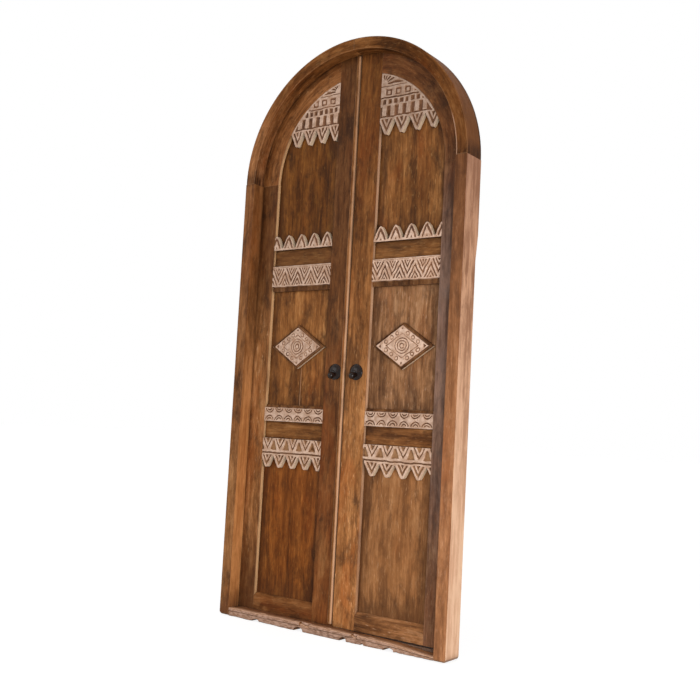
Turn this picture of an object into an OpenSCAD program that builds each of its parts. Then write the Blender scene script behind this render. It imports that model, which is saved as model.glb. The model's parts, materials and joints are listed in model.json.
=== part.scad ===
// Arched timber double door with its frame, carved panels and iron hardware.
// Units are millimetres. X to the right seen from the front, front towards -Y, Z up.
// The origin is the middle of the sill's underside.

/* [Frame] */
// Overall width over the jambs
frame_w = 980; // [900:5:1100]
// Height of the spring line, where jambs and arch meet
spring_z = 1646; // [1560:1:1760]
// Depth of the frame from front to back
frame_d = 96; // [80:1:120]
// Width of the frame's front face
face_w = 44; // [40:1:60]
// How far the leaves' backs lie in front of the frame's back
leaf_inset = 2; // [1:0.5:4]
// Width of the rebate that takes the leaves
rebate_w = 12; // [8:1:15]
// Size of the stopped chamfer on the jambs' back outer arris
chamfer = 11; // [4:1:14]
// Height at which the stopped chamfer starts to run out
chamfer_top = 1300; // [1000:10:1400]
// Length of the chamfer's sloping run-out
chamfer_run = 88; // [40:2:140]
// Height of the jambs' feet above the sill's underside
jamb_foot = 3; // [1:1:5]
// Size of the worn arrises at the jambs' feet
foot_wear = 9; // [3:1:14]
// Length of the stub tenon on top of each jamb
frame_tenon = 25; // [15:1:35]

/* [Sill] */
// Height of the sill's front lip at its least worn end
sill_h = 33; // [30:1:40]
// Height of the sill's front lip at its most worn end
sill_worn_h = 13; // [11:1:20]
// How far the sill's underside is worn away at its most worn end
sill_lift = 4; // [0:1:6]
// Height of the sill behind the lip, under the leaves
sill_back_h = 24; // [20:1:26]
// Size of the chips along the sill's arrises
sill_chip = 11; // [4:1:12]
// Depth of the chips behind the sill's front face
sill_chip_d = 14; // [6:1:30]

/* [Leaves] */
// Thickness of a leaf
leaf_t = 40; // [34:1:44]
// Play between leaf and stop
stop_gap = 1; // [0.5:0.1:2]
// Play between leaf edge and rebate
edge_gap = 2; // [1.5:0.1:3]
// Gap between the two leaves
meeting_gap = 3; // [3:0.1:5]
// Relief bevel on the meeting edges
meeting_bevel = 2; // [1.5:0.1:4]
// Play between leaf and sill
bottom_gap = 5; // [4:0.5:8]
// Half distance between the panel openings of the two leaves
panel_in = 93; // [84:1:105]
// Width of the hinge stile and the curved rail
stile_w = 83; // [76:1:92]
// Height of the bottom rail
bottom_rail_h = 64; // [56:1:94]
// Lower edge of the lower rail
lower_rail_z = 671; // [640:1:690]
// Height of the two plain rails
rail_h = 64; // [50:1:76]
// Lower edge of the upper rail
upper_rail_z = 1324; // [1290:1:1340]
// How far the plain rails lie behind the stiles
rail_recess = 12; // [8:1:14]
// How far the panels lie behind the stiles
panel_recess = 17; // [15:1:19]
// Thickness of the panels
panel_t = 12; // [9:1:13]
// Depth of the panel grooves and stub tenons
groove_d = 10; // [8:1:12]
// Play at the bottom of the panel grooves
groove_play = 1; // [0.5:0.1:2]
// Run of the sloping top of the bottom rail
weathering = 12; // [6:1:30]
// Width of the bead along the meeting line
bead_w = 16; // [12:1:16]
// How far the bead stands out from the leaf
bead_h = 11; // [7:1:12]

/* [Carving] */
// Depth of the carved ground below the carving's face
carve_d = 6; // [3:0.5:9]
// Play around the carved boards
carve_gap = 0.5; // [0.3:0.1:1.5]
// Height of the cresting on the upper rail
crest_h = 55; // [44:1:64]
// Height of the chevron band under the upper rail
chevron_h = 78; // [64:1:90]
// Pitch of the teeth in the chevron band
chevron_pitch = 63; // [50:1:70]
// Height of the scallop band on the lower rail
scallop_h = 51; // [44:1:60]
// Number of scallops in a row
scallop_n = 6; // [4:1:7]
// Height of the upper row of the pointed-leaf band
lappet_band_h = 52; // [44:1:60]
// Length of the hanging points
lappet_h = 57; // [44:1:68]
// Height of the plain fillet along a band
fillet_h = 18; // [10:1:24]
// Half width of the diamond
diamond_a = 109; // [90:1:115]
// Half height of the diamond
diamond_b = 72; // [60:1:90]
// Place of the diamond's centre in the plain field, from 0 at its foot to 1 at its top
diamond_at = 0.508; // [0.4:0.002:0.6]
// Width of the lip around the diamond
diamond_lip = 10; // [6:1:14]
// Height above the spring line of the arched carving's hanging points
tymp_line = 193; // [186:1:200]
// Length of the arched carving's hanging points
tymp_points = 62; // [50:1:70]
// How much higher the rows of the left leaf's arched carving sit
tymp_left_up = 9; // [0:1:12]
// Height of the row of blocks
block_row = 42; // [34:1:46]
// Width of a block
block_w = 18; // [14:1:24]
// Gap between two blocks
block_gap = 16; // [10:1:18]
// Height of the dentil row
dentil_row = 28; // [26:1:34]
// Width of a dentil hole
dentil_w = 14; // [10:1:16]
// Pitch of the dentil holes
dentil_pitch = 23.5; // [20:0.5:28]
// Height of the row of squares
square_row = 44; // [38:1:48]
// Side of a carved square
square_w = 26; // [20:1:28]
// Pitch of the carved squares
square_pitch = 40; // [34:1:48]
// Number of rays in the fan
fan_n = 5; // [4:1:7]
// Length of the fan's rays
fan_r = 110; // [90:1:120]
// Pitch of the points on the left leaf
pitch_left = 61; // [52:1:70]
// Pitch of the points on the right leaf
pitch_right = 64; // [52:1:70]
// Pitch of the points in the right leaf's arched carving
pitch_top = 65; // [58:1:72]

/* [Hardware] */
// Height of the lowest hinge
hinge_low = 260; // [180:5:320]
// Height of the middle hinge
hinge_mid = 900; // [820:5:980]
// Height of the top hinge
hinge_top = 1480; // [1400:5:1540]
// Height of a hinge
hinge_h = 100; // [80:2:120]
// Thickness of the hinge plates
plate_t = 2.5; // [2:0.1:3]
// Width of the hinge plates, from the pin
plate_w = 40; // [32:1:42]
// Radius of the hinge knuckles
knuckle_r = 5; // [4.5:0.1:5.5]
// Radius of the hinge pins
pin_r = 2.5; // [2:0.1:3]
// Radial play of the pin in the moving knuckle
pin_play = 0.06; // [0.02:0.01:0.1]
// Gap between neighbouring knuckles
knuckle_gap = 0.5; // [0.3:0.1:1]
// Radius of the hinge screws
screw_r = 2; // [1.5:0.1:2.5]
// Radius of the screw heads
screw_head_r = 4.2; // [3.5:0.1:4.5]
// Length of the hinge screws
screw_l = 20; // [14:1:24]
// Distance of the pulls from the centre line
pull_x = 47; // [47:1:60]
// Height of the pulls' roses
pull_z = 923; // [860:1:960]
// Radius of the rose
rose_r = 28.5; // [24:0.5:28.5]
// Height of the rose's dome
rose_h = 10; // [7:0.5:12]
// Thickness of the rose's rim
rose_rim = 2; // [1:0.5:3]
// Radius of the rivet head in the rose's middle
rivet_r = 6; // [4:0.5:7]
// Radius of the knob
knob_r = 12.5; // [10:0.5:15]
// Distance of the knob's middle from the leaf
knob_out = 24; // [21:0.5:30]
// How far the knob sits below the rose's middle
knob_drop = 14; // [12:1:16]
// Radius of the stud that holds the knob
stud_r = 4; // [3:0.5:5]

/* [Hidden] */
$fn = 96;
eps = 0.01;
half = frame_w / 2;
stop_r = half - face_w;
rebate_r = stop_r + rebate_w;
y_front = -frame_d / 2;
y_back = frame_d / 2;
stop_d = frame_d - leaf_t - stop_gap - leaf_inset;
y_stop = y_front + stop_d;
rebate_d = y_back - y_stop;
jamb_back_w = half - rebate_r;
leaf_y = y_stop + stop_gap;
leaf_back = leaf_y + leaf_t;
leaf_r = rebate_r - edge_gap;
leaf_in = meeting_gap / 2;
leaf_z = sill_back_h + bottom_gap;
bottom_rail_top = leaf_z + bottom_rail_h;
panel_out = leaf_r - stile_w;
panel_w = panel_out - panel_in;
panel_y = leaf_y + panel_recess;
panel_back = panel_y + panel_t;
rail_y = leaf_y + rail_recess;
lower_rail_top = lower_rail_z + rail_h;
upper_rail_top = upper_rail_z + rail_h;
field_low = lower_rail_top + scallop_h + fillet_h * 0.6;
field_high = upper_rail_z - chevron_h - fillet_h;
diamond_z = field_low + diamond_at * (field_high - field_low);
tongue = groove_d - groove_play;
board_w = panel_w - 2 * carve_gap;
board_x = panel_in + carve_gap;
ground_y = leaf_y + carve_d;
hinge_z = [hinge_low, hinge_mid, hinge_top];
axis_x = rebate_r - edge_gap / 2;
axis_y = y_back + knuckle_r + 1;
plate_gap = 0.6;
frame_plate_x = axis_x + plate_gap / 2;
leaf_plate_x = axis_x - plate_gap / 2 - plate_t;
mid_knuckle = hinge_h / 3;
screw_rows = [-0.38, 0, 0.38];
// Chips along the sill, as shares of half the opening's width
sill_low_chips = [-0.69, -0.26, 0.19, 0.61];
sill_top_chips = [-0.17, 0.3];
dark_wood = [0.36, 0.22, 0.12];
pale_wood = [0.74, 0.6, 0.5];
iron = [0.08, 0.08, 0.08];
tymp_r = panel_out - carve_gap;
dome_ball = (rose_r * rose_r + rose_h * rose_h) / (2 * rose_h);
tymp_blocks = tymp_line + block_row;
tymp_dentils = tymp_blocks + dentil_row;
tymp_fan = tymp_dentils + square_row;

// A flat shape drawn in X and Z, given depth from y0 to y1.
module slab(y0, y1) {
  translate([0, y1, 0])
    rotate([90, 0, 0])
      linear_extrude(y1 - y0) children();
}

// A box from its two corners.
module span(a, b) {
  translate(a)
    cube(b - a);
}

// The left hand pieces are the right hand ones mirrored.
module flip() {
  mirror([1, 0, 0]) children();
}

// The part of a disc about the arch's centre that lies right of x0 and above the spring line.
module quarter_disc(r, x0) {
  intersection() {
    translate([0, spring_z]) circle(r);
    translate([x0, spring_z]) square([r + 10, r + 10]);
  }
}

// A quarter ring of the arch.
module quarter_ring(r_in, r_out, x0) {
  difference() {
    quarter_disc(r_out, x0);
    translate([0, spring_z]) circle(r_in);
  }
}

// Hinge parts are drawn at the right jamb.
module frame_plate_box(z) {
  span([frame_plate_x, axis_y - plate_w, z - hinge_h / 2],
       [frame_plate_x + plate_t, axis_y, z + hinge_h / 2]);
}

module leaf_plate_box(z) {
  span([leaf_plate_x, axis_y - plate_w, z - hinge_h / 2],
       [leaf_plate_x + plate_t, axis_y, z + hinge_h / 2]);
}

module knuckle(z0, z1, r) {
  translate([axis_x, axis_y, z0]) cylinder(r = r, h = z1 - z0);
}

// One countersunk screw with its head's face at x = 0 and its shank along +X.
module screw() {
  rotate([0, 90, 0]) {
    cylinder(r1 = screw_head_r, r2 = screw_r, h = plate_t);
    cylinder(r = screw_r, h = screw_l);
  }
}

function screw_y(i) = axis_y - plate_w * (i == 1 ? 0.75 : 0.5);

module frame_screws(z) {
  for (i = [0:2])
    translate([frame_plate_x, screw_y(i), z + screw_rows[i] * hinge_h]) screw();
}

module leaf_screws(z) {
  for (i = [0:2])
    translate([leaf_plate_x + plate_t, screw_y(i), z + screw_rows[i] * hinge_h])
      mirror([1, 0, 0]) screw();
}

module frame_hinge_plate(z) {
  difference() {
    union() {
      frame_plate_box(z);
      knuckle(z - hinge_h / 2, z - mid_knuckle / 2, knuckle_r);
      knuckle(z + mid_knuckle / 2, z + hinge_h / 2, knuckle_r);
    }
    knuckle(z - mid_knuckle / 2, z + mid_knuckle / 2, knuckle_r + knuckle_gap);
    knuckle(z - hinge_h, z + hinge_h, pin_r);
    frame_screws(z);
  }
}

module leaf_hinge_plate(z) {
  difference() {
    union() {
      leaf_plate_box(z);
      knuckle(z - mid_knuckle / 2 + knuckle_gap, z + mid_knuckle / 2 - knuckle_gap, knuckle_r);
    }
    knuckle(z - hinge_h, z - mid_knuckle / 2 + knuckle_gap, knuckle_r + knuckle_gap);
    knuckle(z + mid_knuckle / 2 - knuckle_gap, z + hinge_h, knuckle_r + knuckle_gap);
    knuckle(z - hinge_h, z + hinge_h, pin_r + pin_play);
    leaf_screws(z);
  }
}

// Frame timbers.
module jamb_tenon() {
  span([half - jamb_back_w * 0.75, -frame_d * 0.2, spring_z - eps],
       [half - jamb_back_w * 0.25, frame_d * 0.2, spring_z + frame_tenon]);
}

module sill_tenon() {
  span([rebate_r - eps, y_stop + rebate_d * 0.2, jamb_foot + 2],
       [rebate_r + jamb_back_w * 0.5, y_stop + rebate_d * 0.75, sill_back_h - 1]);
}

// The chamfer is a triangle in plan that stops on a slope.
module jamb_chamfer() {
  intersection() {
    translate([0, 0, -1])
      linear_extrude(chamfer_top + chamfer_run + 2)
        polygon([[half - chamfer, y_back], [half, y_back - chamfer], [half + 1, y_back - chamfer],
                 [half + 1, y_back + 1], [half - chamfer, y_back + 1]]);
    translate([half - 2 * chamfer, 0, 0])
      rotate([90, 0, 90])
        linear_extrude(3 * chamfer)
          polygon([[y_back - chamfer, -2], [y_back + 2, -2], [y_back + 2, chamfer_top + chamfer_run],
                   [y_back, chamfer_top + chamfer_run], [y_back - chamfer, chamfer_top]]);
  }
}

// The outer and the front arris of a foot, worn off at a slope.
module jamb_foot_wear() {
  slab(y_front - 1, y_back + 1)
    polygon([[half - foot_wear * 0.7, jamb_foot - 1], [half + 1, jamb_foot - 1],
             [half + 1, jamb_foot + foot_wear], [half, jamb_foot + foot_wear],
             [half - foot_wear * 0.7, jamb_foot]]);
  translate([stop_r - 1, 0, 0])
    rotate([90, 0, 90])
      linear_extrude(face_w + 2)
        polygon([[y_front - 1, jamb_foot - 1], [y_front + foot_wear * 0.5, jamb_foot - 1],
                 [y_front + foot_wear * 0.5, jamb_foot], [y_front, jamb_foot + foot_wear * 0.6],
                 [y_front - 1, jamb_foot + foot_wear * 0.6]]);
}

module jamb() {
  color(dark_wood)
    difference() {
      union() {
        span([stop_r, y_front, jamb_foot], [half, y_stop, spring_z]);
        span([rebate_r, y_stop - 1, jamb_foot], [half, y_back, spring_z]);
        jamb_tenon();
      }
      jamb_chamfer();
      jamb_foot_wear();
      sill_tenon();
      for (z = hinge_z) frame_plate_box(z);
      for (z = hinge_z) frame_screws(z);
    }
}

module left_jamb() {
  flip() jamb();
}

module right_jamb() {
  jamb();
}

module crown_tenon() {
  span([-frame_tenon, -frame_d * 0.2, spring_z + half - jamb_back_w * 0.8],
       [eps, frame_d * 0.2, spring_z + half - jamb_back_w * 0.3]);
}

module arch_body() {
  union() {
    slab(y_front, y_stop) quarter_ring(stop_r, half, 0);
    slab(y_stop - 1, y_back) quarter_ring(rebate_r, half, 0);
  }
}

module left_arch_segment() {
  color(dark_wood)
    difference() {
      flip() arch_body();
      flip() jamb_tenon();
      crown_tenon();
    }
}

module right_arch_segment() {
  color(dark_wood)
    difference() {
      union() {
        arch_body();
        crown_tenon();
      }
      jamb_tenon();
    }
}

module long_chip() {
  polygon([[-2 * sill_chip, 1], [-1.6 * sill_chip, -0.7 * sill_chip], [0, -sill_chip],
           [1.4 * sill_chip, -0.6 * sill_chip], [2 * sill_chip, 1]]);
}

// Front elevation of the sill's lip, worn down towards the right.
module sill_lip() {
  polygon([[-stop_r, 0], [stop_r * 0.35, 0], [stop_r, sill_lift], [stop_r, sill_worn_h],
           [stop_r * 0.62, sill_h * 0.79], [stop_r * 0.28, sill_h * 0.88], [0, sill_h * 0.94],
           [-stop_r * 0.22, sill_h], [-stop_r, sill_h]]);
}

// The lip's front layer, with chipped arrises.
module chipped_lip() {
  difference() {
    sill_lip();
    translate([sill_top_chips[0] * stop_r, sill_h]) long_chip();
    translate([sill_top_chips[1] * stop_r, sill_h * 0.93]) circle(sill_chip, $fn = 6);
    for (i = [0:len(sill_low_chips) - 1])
      translate([sill_low_chips[i] * stop_r, 0]) circle(sill_chip * (0.8 + 0.1 * (i % 3)), $fn = 6 + i % 3);
  }
}

module sill() {
  color(dark_wood)
    union() {
      slab(y_front, y_front + sill_chip_d + 1) chipped_lip();
      slab(y_front + sill_chip_d, y_stop - 10) sill_lip();
      slab(y_stop - 11, y_stop)
        polygon([[-stop_r, 0], [stop_r, 0], [stop_r, sill_worn_h], [0, sill_h * 0.8], [-stop_r, sill_h]]);
      span([-rebate_r, y_stop - eps, 0], [rebate_r, y_back, sill_back_h]);
      span([-stop_r, y_stop - 11, 0], [stop_r, y_stop + 1, sill_worn_h]);
      sill_tenon();
      flip() sill_tenon();
    }
}

// Leaf timbers, drawn for the right leaf.
module tongue_box(x0, x1, z0, z1) {
  span([x0, panel_y, z0], [x1, panel_back, z1]);
}

module hinge_stile() {
  color(dark_wood)
    difference() {
      span([panel_out, leaf_y, leaf_z], [leaf_r, leaf_back, spring_z]);
      tongue_box(panel_out - 1, panel_out + groove_d, leaf_z - 1, spring_z + 1);
      for (z = hinge_z) leaf_plate_box(z);
      for (z = hinge_z) leaf_screws(z);
    }
}

module meeting_stile() {
  color(dark_wood)
    difference() {
      slab(leaf_y, leaf_back)
        intersection() {
          translate([leaf_in, leaf_z]) square([panel_in - leaf_in, spring_z + leaf_r]);
          union() {
            translate([0, spring_z]) circle(leaf_r);
            square([leaf_r, spring_z]);
          }
        }
      tongue_box(panel_in - groove_d, panel_in + 1, leaf_z - 1, spring_z + leaf_r);
      translate([0, 0, -1])
        linear_extrude(spring_z + half + 2)
          polygon([[leaf_in, leaf_y], [leaf_in - 1, leaf_y - 1], [leaf_in - 1, leaf_back + 1],
                   [leaf_in + meeting_bevel, leaf_back + 1], [leaf_in + meeting_bevel, leaf_back]]);
      translate([pull_x, leaf_back + 1, pull_z - knob_drop])
        rotate([90, 0, 0]) cylinder(r = stud_r, h = leaf_t + 2);
    }
}

module arch_rail() {
  color(dark_wood)
    difference() {
      union() {
        slab(leaf_y, leaf_back) quarter_ring(panel_out, leaf_r, panel_in);
        slab(panel_y, panel_back) quarter_ring(panel_out + groove_d, leaf_r, panel_in - groove_d);
      }
      slab(panel_y, panel_back)
        translate([0, spring_z]) circle(panel_out + groove_d);
    }
}

module plain_rail(z0) {
  color(dark_wood)
    difference() {
      union() {
        span([panel_in, rail_y, z0], [panel_out, leaf_back, z0 + rail_h]);
        tongue_box(panel_in - groove_d, panel_out + groove_d, z0, z0 + rail_h);
      }
      tongue_box(panel_in - groove_d - 1, panel_out + groove_d + 1, z0 - 1, z0 + groove_d);
      tongue_box(panel_in - groove_d - 1, panel_out + groove_d + 1,
                 z0 + rail_h - groove_d, z0 + rail_h + 1);
    }
}

module bottom_rail() {
  color(dark_wood)
    difference() {
      union() {
        span([panel_in, leaf_y, leaf_z], [panel_out, leaf_back, bottom_rail_top]);
        tongue_box(panel_in - groove_d, panel_out + groove_d, leaf_z, bottom_rail_top);
      }
      tongue_box(panel_in - groove_d - 1, panel_out + groove_d + 1,
                 bottom_rail_top - groove_d, bottom_rail_top + 1);
      translate([panel_in - 1, 0, 0])
        rotate([90, 0, 90])
          linear_extrude(panel_w + 2)
            polygon([[leaf_y - 1, bottom_rail_top - weathering], [leaf_y, bottom_rail_top - weathering],
                     [panel_y - 2, bottom_rail_top], [panel_y - 2, bottom_rail_top + 1],
                     [leaf_y - 1, bottom_rail_top + 1]]);
    }
}

module flat_panel(z0, z1) {
  color(dark_wood)
    tongue_box(panel_in - tongue, panel_out + tongue, z0 - tongue, z1 + tongue);
}

module arched_panel() {
  color(dark_wood)
    slab(panel_y, panel_back)
      union() {
        translate([panel_in - tongue, upper_rail_top - tongue])
          square([panel_w + 2 * tongue, spring_z - upper_rail_top + tongue]);
        quarter_disc(panel_out + tongue, panel_in - tongue);
      }
}

module left_meeting_bead() {
  cap_r = bead_w * 0.56;
  color(dark_wood)
    translate([-leaf_in - bead_w, leaf_y, sill_h + 4])
      linear_extrude(spring_z + stop_r - 5 - sill_h - 4)
        mirror([0, 1])
          intersection() {
            square([bead_w, bead_h]);
            translate([bead_w / 2, bead_h - cap_r]) circle(cap_r);
          }
}

// Carving motifs, drawn flat. A point hangs down from y = 0.
module point_shape(w, h) {
  polygon([[-w / 2, 0], [w / 2, 0], [w / 2, -0.12 * h], [w * 0.26, -0.6 * h], [w * 0.11, -0.93 * h],
           [w * 0.05, -h], [-w * 0.05, -h], [-w * 0.11, -0.93 * h],
           [-w * 0.26, -0.6 * h], [-w / 2, -0.12 * h]]);
}

// One V-shaped cut of width t.
module vee(x, d, t) {
  polygon([[-x, 0], [0, -d], [x, 0], [x - t, 0], [0, -d + t * d / x], [t - x, 0]]);
}

// The cuts inside one point: an outer V and an inner notch.
module point_cuts(w, h) {
  translate([0, -0.1 * h]) vee(w * 0.36, h * 0.76, w * 0.12);
  translate([0, -0.1 * h]) polygon([[-w * 0.11, 0], [w * 0.11, 0], [0, -h * 0.3]]);
}

// A row of hanging points between u = 0 and u = w; first is the middle of the first point.
// The last point's middle lies no further than last.
module point_row(w, h, pitch, first, last) {
  intersection() {
    translate([0, -h]) square([w, h]);
    union() {
      for (u = [first:pitch:last])
        translate([u, 0]) point_shape(pitch, h);
    }
  }
}

module point_row_cuts(w, h, pitch, first) {
  for (u = [first:pitch:w + pitch / 4])
    translate([u, 0]) point_cuts(pitch, h);
}

// A carved board: a ground with a face layer, both in leaf coordinates.
module board(y_lap = 1) {
  union() {
    slab(ground_y, panel_y) children(0);
    slab(leaf_y, ground_y + y_lap) children(1);
  }
}

// One standing leaf of the cresting, with bulging sides.
module crest_leaf(w, h) {
  polygon([[-w * 0.46, 0], [w * 0.46, 0], [w * 0.44, 0.12 * h], [w * 0.3, 0.52 * h], [w * 0.15, 0.84 * h],
           [w * 0.03, h], [-w * 0.03, h], [-w * 0.15, 0.84 * h], [-w * 0.3, 0.52 * h],
           [-w * 0.44, 0.12 * h]]);
}

// The cut in one leaf: a groove that leaves a three-cornered tongue standing, notched at its foot.
module crest_leaf_cut(w, h) {
  union() {
    difference() {
      crest_leaf(w * 0.74, h * 0.82);
      polygon([[-w * 0.25, -1], [w * 0.25, -1], [0, h * 0.6]]);
    }
    polygon([[-w * 0.06, 0], [w * 0.06, 0], [0, h * 0.2]]);
  }
}

module crest_outline(pitch, first) {
  intersection() {
    square([board_w, crest_h]);
    union() {
      square([board_w, 7]);
      for (u = [first:pitch:board_w + pitch / 2])
        translate([u, 0]) crest_leaf(pitch, crest_h);
    }
  }
}

module cresting(pitch, first) {
  color(pale_wood)
    translate([board_x, 0, upper_rail_top])
      board() {
        crest_outline(pitch, first);
        difference() {
          crest_outline(pitch, first);
          for (u = [first:pitch:board_w + pitch / 4])
            translate([u, crest_h * 0.08]) crest_leaf_cut(pitch, crest_h);
        }
      }
}

// One tooth of the chevron band: two V cuts and a notch, one inside the other, hanging from y = 0.
module tooth(h) {
  inner = 0.54;
  vee(chevron_pitch * 0.44, h, chevron_pitch * 0.1);
  vee(chevron_pitch * 0.44 * inner, h * inner, chevron_pitch * 0.08);
  polygon([[-chevron_pitch * 0.08, 0], [chevron_pitch * 0.08, 0], [0, -h * 0.18]]);
}

// Standing and hanging teeth, with a bold zigzag between them. first is the middle of a standing one.
module chevron_cuts(first) {
  low = 6;
  top = chevron_h - 9;
  tooth_h = (top - low) * 0.84;
  intersection() {
    translate([-1, low]) square([board_w + 2, top - low]);
    union() {
      for (u = [first - chevron_pitch:chevron_pitch:board_w + chevron_pitch]) {
        translate([u, low]) mirror([0, 1]) tooth(tooth_h);
        translate([u + chevron_pitch / 2, top]) tooth(tooth_h);
      }
    }
  }
}

module chevron_band(first) {
  color(pale_wood)
    translate([board_x, 0, upper_rail_z - chevron_h])
      union() {
        board() {
          square([board_w, chevron_h]);
          difference() {
            square([board_w, chevron_h]);
            chevron_cuts(first);
            translate([-1, chevron_h - 5]) square([board_w + 2, 1.6]);
          }
        }
        slab(panel_y - 8, panel_y) translate([0, -fillet_h]) square([board_w, fillet_h + 1]);
      }
}

// An arc standing on or hanging from y = 0, flatter than a half circle by sink.
module half_ring(r_out, r_in, up, sink) {
  intersection() {
    translate([0, up ? -sink : sink]) ring(r_out, r_out - r_in);
    translate([-r_out - 1, up ? 0 : -r_out - 1]) square([2 * r_out + 2, r_out + 1]);
  }
}

module scallop_cuts() {
  p = board_w / scallop_n;
  for (i = [0:scallop_n - 1], r = [0.46, 0.27]) {
    translate([(i + 0.5) * p, 5]) half_ring(p * r, p * (r - 0.08), true, p * 0.09);
    translate([(i + 0.5) * p, scallop_h - 4]) half_ring(p * r * 0.92, p * (r * 0.92 - 0.08), false, p * 0.09);
  }
}

module scallop_band() {
  color(pale_wood)
    translate([board_x, 0, lower_rail_top])
      union() {
        board() {
          square([board_w, scallop_h]);
          difference() {
            square([board_w, scallop_h]);
            scallop_cuts();
          }
        }
        slab(panel_y - 8, panel_y) translate([0, scallop_h - 1]) square([board_w, fillet_h * 0.6 + 1]);
      }
}

// Upper row of the pointed-leaf band: hanging Vs with pointed hollows between them.
module lappet_upper_cuts(pitch, first) {
  for (u = [first:pitch:board_w + pitch / 2])
    translate([u, lappet_band_h - 2]) {
      vee(pitch * 0.36, lappet_band_h * 0.78, pitch * 0.08);
      polygon([[-pitch * 0.14, 0], [pitch * 0.14, 0], [0, -lappet_band_h * 0.34]]);
    }
  for (u = [first - pitch / 2:pitch:board_w + pitch / 2])
    translate([u, 9])
      polygon([[-pitch * 0.25, 0], [pitch * 0.25, 0],
               [pitch * 0.06, lappet_band_h * 0.62], [-pitch * 0.06, lappet_band_h * 0.62]]);
}

module lappet_band(pitch, first) {
  color(pale_wood)
    translate([board_x, 0, lower_rail_z - lappet_band_h])
      board() {
        union() {
          translate([0, -1]) square([board_w, lappet_band_h + 1]);
          point_row(board_w, lappet_h, pitch, first, board_w + pitch / 2);
        }
        union() {
          difference() {
            square([board_w, lappet_band_h]);
            lappet_upper_cuts(pitch, first);
          }
          difference() {
            translate([0, -5]) point_row(board_w, lappet_h - 5, pitch, first, board_w + pitch / 2);
            translate([0, -5]) point_row_cuts(board_w, lappet_h - 5, pitch, first);
          }
        }
      }
}

// The arched carving at the top: fan, squares, dentils, blocks and hanging points.
module tymp_arc(z0, z1) {
  intersection() {
    circle(tymp_r);
    translate([board_x, z0]) square([tymp_r, z1 - z0]);
  }
}

module tymp_outline(pitch, first, up) {
  line = tymp_line + up;
  chord = sqrt(tymp_r * tymp_r - line * line) - board_x;
  union() {
    tymp_arc(line, tymp_r);
    intersection() {
      circle(tymp_r);
      translate([board_x, line + 1]) point_row(board_w, tymp_points + 1, pitch, first, chord);
    }
  }
}

module tymp_fan_cuts() {
  translate([board_x + 6, tymp_fan + 10])
    union() {
      for (i = [0:fan_n - 1])
        rotate(4 + i * 78 / (fan_n - 1))
          polygon([[fan_r * 0.17, -fan_r * 0.016], [fan_r, -fan_r * 0.075],
                   [fan_r, fan_r * 0.075], [fan_r * 0.17, fan_r * 0.016]]);
    }
}

module tymp_square_cuts() {
  for (i = [0:3])
    translate([board_x + 20 + i * square_pitch, tymp_dentils + 10])
      difference() {
        square([square_w, square_row * 0.57]);
        translate([square_w * 0.27, square_row * 0.165]) square([square_w * 0.46, square_row * 0.24]);
      }
}

module tymp_dentil_cuts() {
  for (i = [0:7])
    translate([board_x + 10 + i * dentil_pitch, tymp_blocks + 6]) square([dentil_w, dentil_row - 11]);
}

module tymp_block_cuts() {
  for (i = [0:6])
    translate([board_x + 8 + block_w + i * (block_w + block_gap), tymp_line + 5])
      square([block_gap, block_row - 5]);
  translate([board_x - 1, tymp_line + 5]) square([9, block_row - 5]);
}

module tymp_row_cuts() {
  tymp_square_cuts();
  tymp_dentil_cuts();
  tymp_block_cuts();
  translate([board_x - 1, tymp_fan]) square([tymp_r, 3]);
  translate([board_x - 1, tymp_dentils]) square([tymp_r, 5]);
  translate([board_x - 1, tymp_line + 1]) square([tymp_r, 4.5]);
}

// The rows and the points sit up by a given height; the arched edge stays. share places the first point.
module tympanum_carving(pitch, share, up = 0) {
  first = pitch * share;
  color(pale_wood)
    translate([0, 0, spring_z])
      board() {
        tymp_outline(pitch, first, up);
        difference() {
          tymp_outline(pitch, first, up);
          intersection() {
            circle(tymp_r - 6);
            translate([0, up])
              union() {
                tymp_fan_cuts();
                tymp_row_cuts();
              }
          }
          translate([board_x, tymp_line + up]) point_row_cuts(board_w, tymp_points, pitch, first);
        }
      }
}

// The diamond: a lipped block with a bordered face and rings in its middle.
module rhomb(k) {
  polygon([[-diamond_a * k, 0], [0, -diamond_b * k], [diamond_a * k, 0], [0, diamond_b * k]]);
}

module rhomb_ring(k_out, k_in) {
  difference() {
    rhomb(k_out);
    rhomb(k_in);
  }
}

module ring(r, t) {
  difference() {
    circle(r);
    circle(r - t);
  }
}

// Small rings along the border, a dot at the top and foot, and a three-cornered mark at each side.
module diamond_border_marks() {
  mark_k = 0.8;
  mark_n = 3;
  for (sx = [-1, 1], sy = [-1, 1], i = [1:mark_n])
    let (share = i / (mark_n + 1))
      translate([sx * diamond_a * mark_k * share, sy * diamond_b * mark_k * (1 - share)])
        ring(diamond_b * 0.12, diamond_b * 0.06);
  for (s = [-1, 1])
    translate([0, s * diamond_b * 0.84]) circle(diamond_b * 0.05);
  difference() {
    rhomb(0.92);
    translate([-diamond_a * 0.8, -diamond_b]) square([diamond_a * 1.6, diamond_b * 2]);
  }
}

module diamond() {
  lip_k = 1 + diamond_lip / diamond_a * 1.6;
  groove = diamond_b * 0.065;
  color(pale_wood)
    translate([(panel_in + panel_out) / 2, 0, diamond_z])
      union() {
        slab(panel_y - diamond_lip * 0.5, panel_y) rhomb(lip_k);
        slab(ground_y, panel_y) rhomb(1);
        slab(leaf_y, ground_y + 1)
          difference() {
            rhomb(1);
            rhomb_ring(0.63, 0.565);
            diamond_border_marks();
            for (r = [0.41, 0.28, 0.15])
              ring(diamond_b * r, groove);
          }
      }
}

// Pulls: a domed rose with a rivet head in its middle, a knob on a stud, and a nut at the back.
function dome_z(x) = sqrt(dome_ball * dome_ball - x * x) - dome_ball + rose_h;

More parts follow.
